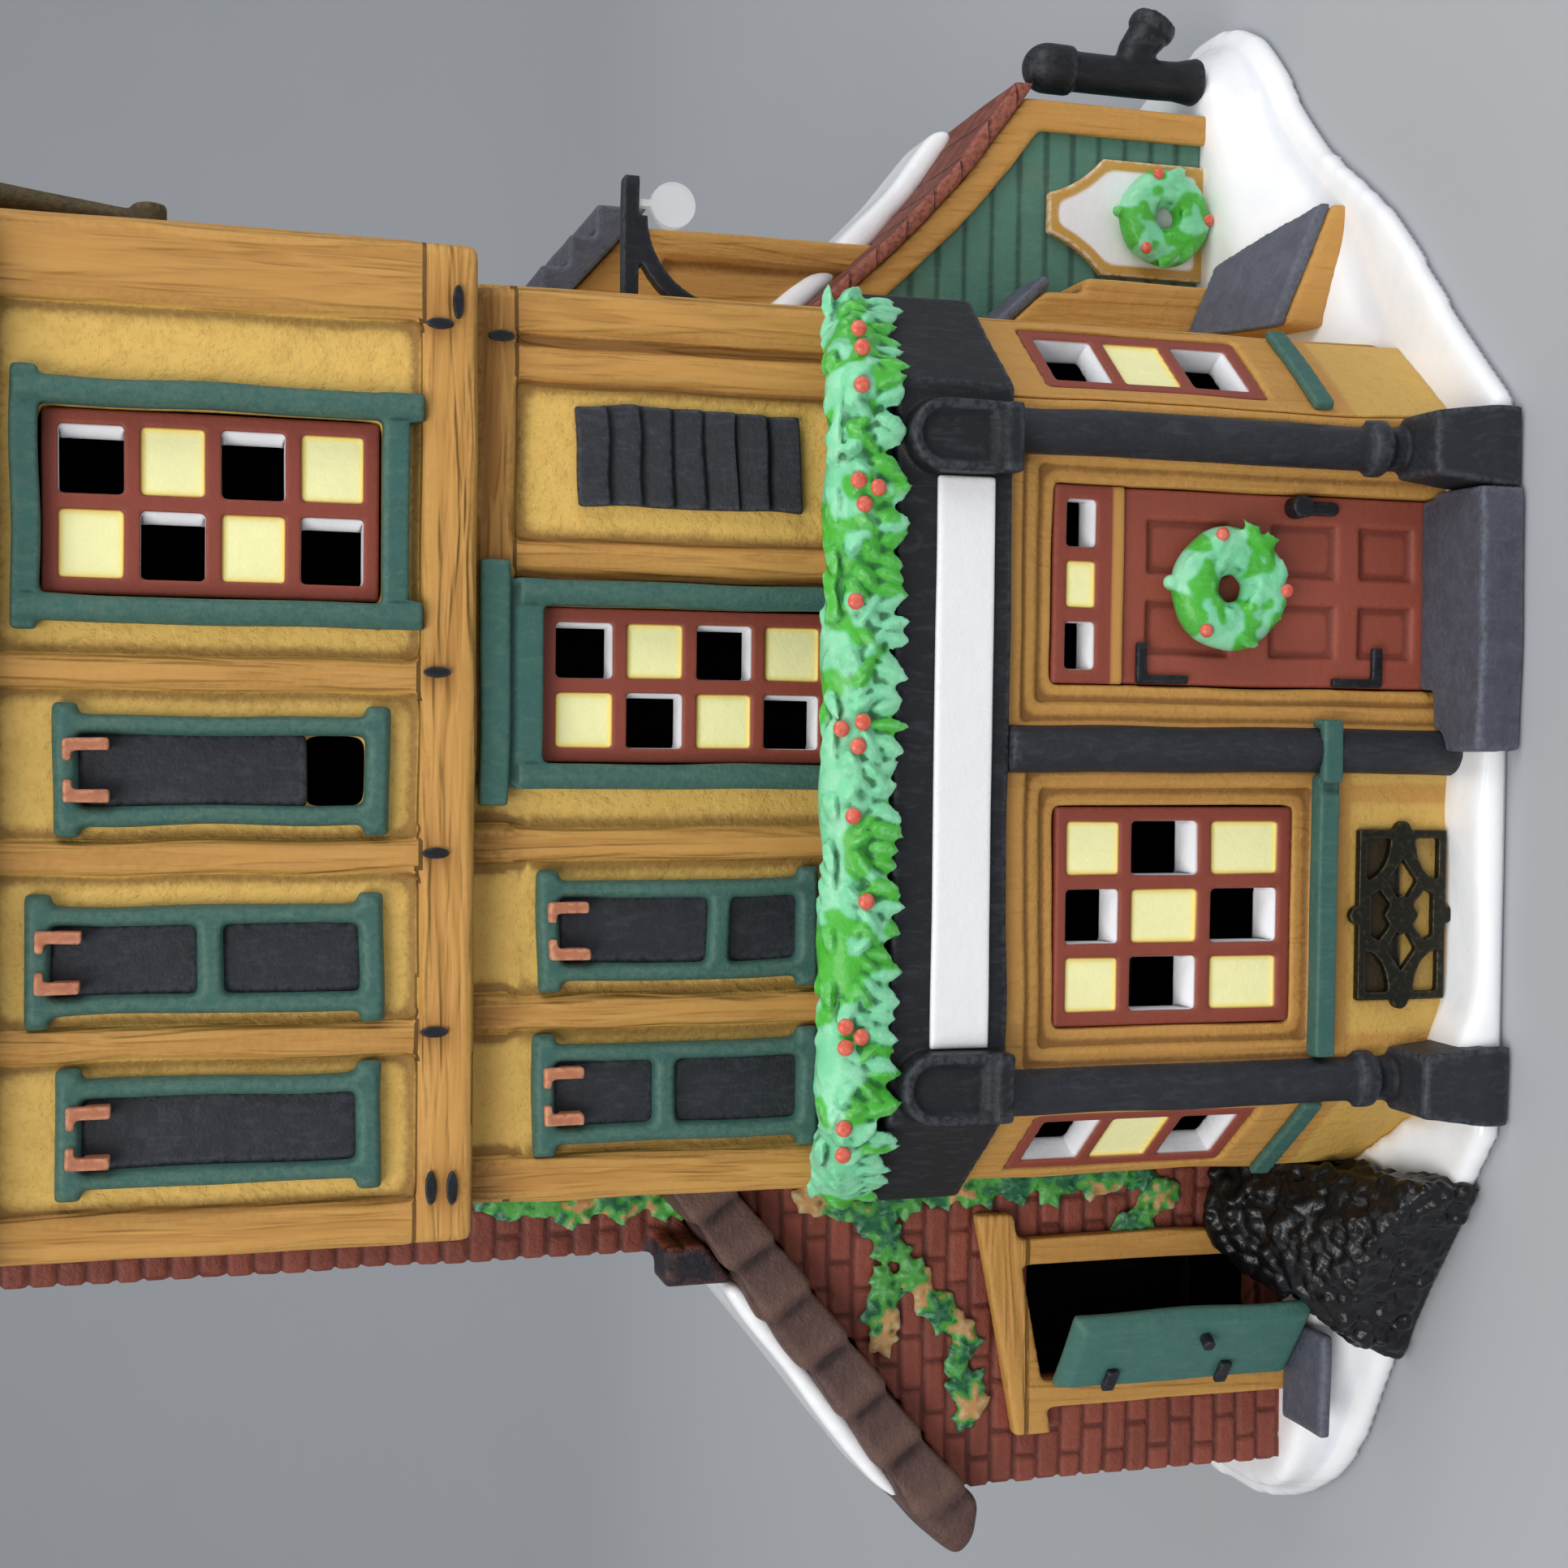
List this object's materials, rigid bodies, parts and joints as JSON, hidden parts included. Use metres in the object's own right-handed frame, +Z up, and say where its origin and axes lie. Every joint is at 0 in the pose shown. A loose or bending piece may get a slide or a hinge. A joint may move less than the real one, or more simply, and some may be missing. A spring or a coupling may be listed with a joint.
{
  "type": "ceramic christmas village house",
  "caption": "Timber-framed ceramic village shop with lattice windows, garland, brick lean-to and plank shed on a snow base, lit by a lamp that pushes in at the back.",
  "frame": {"origin": "on the flat underside of the snow base, midway along the shop front's width and 51 mm behind its front edge", "axes": "+X to the right seen from the front, +Y from the shop front to the rear, +Z up"},
  "size_m": [0.1924, 0.1071, 0.226],
  "materials": {
    "snow": "gloss white glaze",
    "timber": "matt paint with a dark wash",
    "stucco": "matt paint with a dark wash",
    "lattice": "satin paint",
    "green": "satin paint with a dark wash",
    "charcoal": "satin paint",
    "copper": "matt copper-coloured paint",
    "black": "satin black paint",
    "iron": "blackened casting",
    "slate": "matt paint",
    "foliage": "gloss paint",
    "berry": "gloss paint",
    "board": "gloss white glaze, bare",
    "brick": "matt paint with a dark wash",
    "tile": "matt paint",
    "coal": "gloss black",
    "pole": "matt paint",
    "clear_plastic": "clear",
    "lamp_plastic": "moulded",
    "cap_brass": "bright",
    "bulb_glass": "clear"
  },
  "bodies": {
    "house": {"snow_base": "snow", "roof_snow": "snow", "first_floor_front": "timber", "upper_front": "timber", "shop_front_wall": "timber", "bay_sides": "timber", "hatch_frame": "timber", "shed_trim": "timber", "side_buttress": "timber", "wing_walls": "timber", "left_wall": "stucco", "right_wall": "stucco", "rear_wall": "stucco", "upper_left": "stucco", "upper_right": "stucco", "upper_rear": "stucco", "shop_sash": "lattice", "bay_side_sashes": "lattice", "door_transom": "lattice", "first_floor_sash": "lattice", "upper_sash": "lattice", "door": "lattice", "window_frames": "green", "shutters": "green", "shop_sills": "green", "hatch_door": "green", "shed_walls": "green", "shutter_panels": "charcoal", "louvre": "charcoal", "shop_columns": "charcoal", "fascia": "charcoal", "shutter_hinges": "copper", "door_ironwork": "black", "iron_pegs": "black", "vent_grille": "iron", "lamp_bracket": "iron", "yard_pump": "iron", "door_step": "slate", "slates": "slate", "wing_roof": "slate", "garland": "foliage", "wreaths": "foliage", "ivy": "foliage", "garland_berries": "berry", "sign_panel": "board", "shed_sign": "board", "lean_to_front": "brick", "lean_to_back": "brick", "chimney": "brick", "lean_to_roof": "tile", "roof_front": "tile", "roof_rear": "tile", "shed_roof": "tile", "bay_roof": "tile", "coal_heap": "coal", "wall_pole": "pole", "lantern_glass": "clear_plastic"},
    "lamp": {"lamp_holder": "lamp_plastic", "bulb_cap": "cap_brass", "bulb_glass": "bulb_glass"}
  },
  "joints": [
    {"name": "lamp_slide", "type": "slide", "parent": "house", "child": "lamp", "axis": [0, 1, 0], "range_m": [0, 0.06]}
  ]
}
